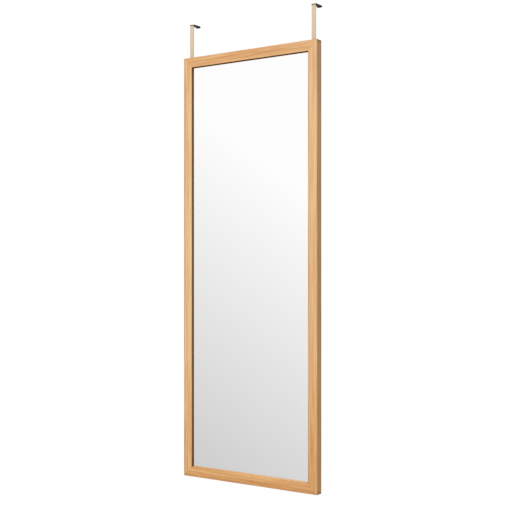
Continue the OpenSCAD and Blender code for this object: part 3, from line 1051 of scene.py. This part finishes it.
def buildPads(material):
    # a disc whose rim is a quarter circle and whose face is hollow by a parabola
    radius, rim, t = pad["diameter"] / 2, pad["rim"], pad["thickness"]
    flat = radius - rim
    face = np.linspace(flat, 0, pad["steps"])[1:]
    section = np.concatenate([[(0, 0), (radius, 0)], arc((flat, t - rim), rim, 0, 90, pad["steps"]),
                              np.column_stack([face, t - pad["hollow"] * (1 - (face / flat) ** 2)])])
    inwards = (moulding["backRadius"] + moulding["wall"]) / 2
    for name, sideDeg, hand in (("upperLeftPad", -90, 1), ("lowerLeftPad", -90, -1),
                                ("upperRightPad", 90, -1), ("lowerRightPad", 90, 1)):
        place = (sideDeg, hand * (frameHalfHeight - pad["inset"]), inwards, moulding["depth"], 0)
        points, faces = repeated([place], *turned(section, pad["turns"]))
        finishedPiece(name, points, faces, material, "frame", nodeName(name), pad["sharpDeg"])


def dress(node, material):
    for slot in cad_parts[node].material_slots:
        slot.material = material


for name, look in members.items():
    buildMember(name, oakMaterial(name, **look))
print("members built")
hands = (("left", -1), ("right", 1))
beigeSteel = strapMaterial()
for side, hand in hands:
    buildStrap(side + "Strap", side + "_hook", hand, beigeSteel)
sleeveRubber = rubberMaterial("sleeveRubber", rubber)
for side, hand in hands:
    buildSleeve(side + "Sleeve", side + "_hook", hand, sleeveRubber)
print("hooks built")
zincPlate = zincMaterial()
buildTurnButtons(zincPlate)
buildFasteners(zincPlate)
buildCornerNails(zincPlate)
buildPads(rubberMaterial("padRubber", padFoam))
print("fittings built")
dress("mirror_pane", mirrorMaterial())
dress("back_panel", hardboardMaterial())
dress("foam_liner", foamMaterial())
print("CAD nodes dressed")


studio = {
    "soft": 0.62,
    "softLean": (-0.20, -0.20, 0.25),
    "wallLean": (0.589, -0.4135, 1.0),
    "wallLimits": (-0.3, 0.108),
    "wallLevels": (0.555, 1.0),
    "floorDrop": 2.03,
    "floorRadius": 2.3,
    "floorRings": 12,
    "floorTurns": 96,
    "floorFade": (0.35, 0.97),
    "floorColour": (0.86, 0.86, 0.86, 1.0),
    "floorRoughness": 0.9,
}

softboxes = {
    "keySoftbox": {"power": 84.0, "size": 2.4, "place": (-1.3, -3.6, 2.3)},
    "backSoftbox": {"power": 60.0, "size": 2.0, "place": (-2.2, 3.4, 1.6)},
}


def buildWorld():
    # camera rays see white; glossy and transmission rays see a white studio whose wall in
    # front of the mirror falls off to light grey; diffuse rays get soft light that leans
    # to the front and from above, and is weakest from the right and from below
    world = bpy.data.worlds.new("studioWorld")
    bpy.context.scene.world = world
    world.use_nodes = True
    tree = world.node_tree
    tree.nodes.clear()
    out = tree.nodes.new("ShaderNodeOutputWorld")
    path = tree.nodes.new("ShaderNodeLightPath")
    coord = tree.nodes.new("ShaderNodeTexCoord")

    def leaning(direction):
        dot = tree.nodes.new("ShaderNodeVectorMath")
        dot.operation = "DOT_PRODUCT"
        tree.links.new(coord.outputs["Generated"], dot.inputs[0])
        dot.inputs[1].default_value = direction
        return dot.outputs["Value"]

    wallLow, wallHigh = studio["wallLevels"]
    wall = ramp(tree, leaning(studio["wallLean"]), studio["wallLimits"], wallHigh, wallLow, smooth=False)
    soft = plus(tree, studio["soft"], leaning(studio["softLean"]))
    reflected = larger(tree, path.outputs["Is Glossy Ray"], path.outputs["Is Transmission Ray"])
    level = plus(tree, times(tree, reflected, wall), times(tree, minus(tree, 1.0, reflected), soft))
    seen = path.outputs["Is Camera Ray"]
    background = tree.nodes.new("ShaderNodeBackground")
    background.inputs["Color"].default_value = (1, 1, 1, 1)
    plug(tree, background.inputs["Strength"], plus(tree, times(tree, minus(tree, 1.0, seen), level), seen))
    tree.links.new(background.outputs[0], out.inputs[0])


def buildFloor():
    # a pale disc below the mirror that fades out before its rim, so it has no edge in any
    # view, and that is clear from beneath
    radii = np.linspace(0, studio["floorRadius"], studio["floorRings"])
    section = np.column_stack([radii, np.full(len(radii), -studio["floorDrop"])])
    x, y, z, faces = turned(section, studio["floorTurns"])
    mesh = bpy.data.meshes.new("studioFloor")
    mesh.from_pydata(np.column_stack([x, y, z]).tolist(), [], faces[:, ::-1].tolist())
    floor = sceneObject("studioFloor", mesh)
    mat, tree, shader = newMaterial("paleFloor")
    finish(tree, shader, studio["floorColour"], studio["floorRoughness"])
    x, y, z = axes(tree)
    distance = maths(tree, "SQRT", plus(tree, times(tree, x, x), times(tree, y, y)))
    solid = ramp(tree, distance, [share * studio["floorRadius"] for share in studio["floorFade"]], 0.0, 1.0)
    beneath = tree.nodes.new("ShaderNodeNewGeometry").outputs["Backfacing"]
    plug(tree, shader.inputs["Alpha"], times(tree, solid, minus(tree, 1.0, beneath)))
    mesh.materials.append(mat)


def buildSoftbox(name, power, size, place):
    data = bpy.data.lights.new(name, "AREA")
    data.shape = "SQUARE"
    data.size = size
    data.energy = power
    lamp = sceneObject(name, data)
    lamp.location = place
    aim = Vector((0, 0, frameMid)) - Vector(place)
    lamp.rotation_euler = aim.to_track_quat("-Z", "Y").to_euler()


camera = {
    "turnDeg": 35.05,
    "lens": 71.79,
    "sensorWidth": 36,
    "depthToLeftEdge": 2.923,
    "leftEdgeAside": -0.2038,
    "shiftY": 12.5 / 509,
    "farClip": 100,
}


def buildCamera():
    # level, turned to the left, and placed by its depth and side distance to the left edge
    turn = math.radians(camera["turnDeg"])
    forward = np.array([-math.sin(turn), math.cos(turn)])
    right = np.array([math.cos(turn), math.sin(turn)])
    edge = np.array([-frameHalfWidth, frameFront])
    place = edge - camera["depthToLeftEdge"] * forward - camera["leftEdgeAside"] * right
    data = bpy.data.cameras.new("photoCamera")
    data.sensor_width = camera["sensorWidth"]
    data.lens = camera["lens"]
    data.shift_y = camera["shiftY"]
    data.clip_end = camera["farClip"]
    eye = sceneObject("photoCamera", data)
    eye.location = (place[0], place[1], frameMid)
    eye.rotation_euler = (math.pi / 2, 0, turn)
    bpy.context.scene.camera = eye


buildWorld()
buildFloor()
for name, softbox in softboxes.items():
    buildSoftbox(name, **softbox)
buildCamera()
bpy.context.scene.view_settings.view_transform = "Standard"
print("studio built")
